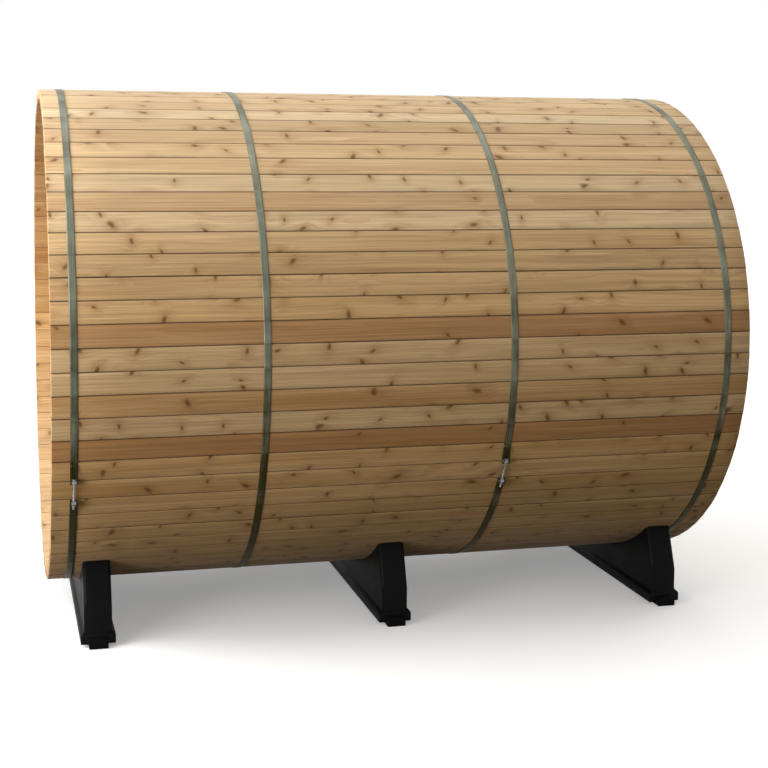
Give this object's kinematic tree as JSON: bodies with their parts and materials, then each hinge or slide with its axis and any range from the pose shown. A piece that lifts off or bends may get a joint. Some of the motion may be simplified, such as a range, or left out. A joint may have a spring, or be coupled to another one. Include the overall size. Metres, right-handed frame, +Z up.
{
  "type": "barrel sauna",
  "caption": "Lying barrel of coopered cedar staves in flat steel hoops with bolt tensioners, resting on black moulded cradles, with an open porch, a plank door and board end walls.",
  "frame": {"origin": "on the ground below the middle of the barrel", "axes": "+X along the barrel from the porch to the back, +Z up, the picture's side at -Y"},
  "size_m": [2.44, 1.8196, 1.93],
  "materials": {
    "cedar": "planed, unfinished",
    "hoop_steel": "satin",
    "bolt_steel": "satin",
    "hinge_steel": "satin",
    "cradle_plastic": "moulded",
    "pad_rubber": "moulded"
  },
  "bodies": {
    "root": {"back_cradle": "cradle_plastic", "back_pads": "pad_rubber", "back_wall": "cedar", "back_wall_hoop": "hoop_steel", "door_boards": "cedar", "door_handle": "cedar", "door_head": "cedar", "door_hinges": "hinge_steel", "door_ledges": "cedar", "door_sill": "cedar", "door_stops": "cedar", "floor_staves": "cedar", "front_cradle": "cradle_plastic", "front_hoop": "hoop_steel", "front_pads": "pad_rubber", "front_wall_hoop": "hoop_steel", "front_wall_left": "cedar", "front_wall_over_door": "cedar", "front_wall_right": "cedar", "front_wall_under_door": "cedar", "hoop_bolts": "bolt_steel", "hoop_nuts": "bolt_steel", "hoop_trunnions": "bolt_steel", "left_door_jamb": "cedar", "left_roof_staves": "cedar", "left_wall_staves": "cedar", "middle_cradle": "cradle_plastic", "middle_hoop": "hoop_steel", "middle_pads": "pad_rubber", "right_door_jamb": "cedar", "right_roof_staves": "cedar", "right_wall_staves": "cedar"}
  },
  "joints": []
}
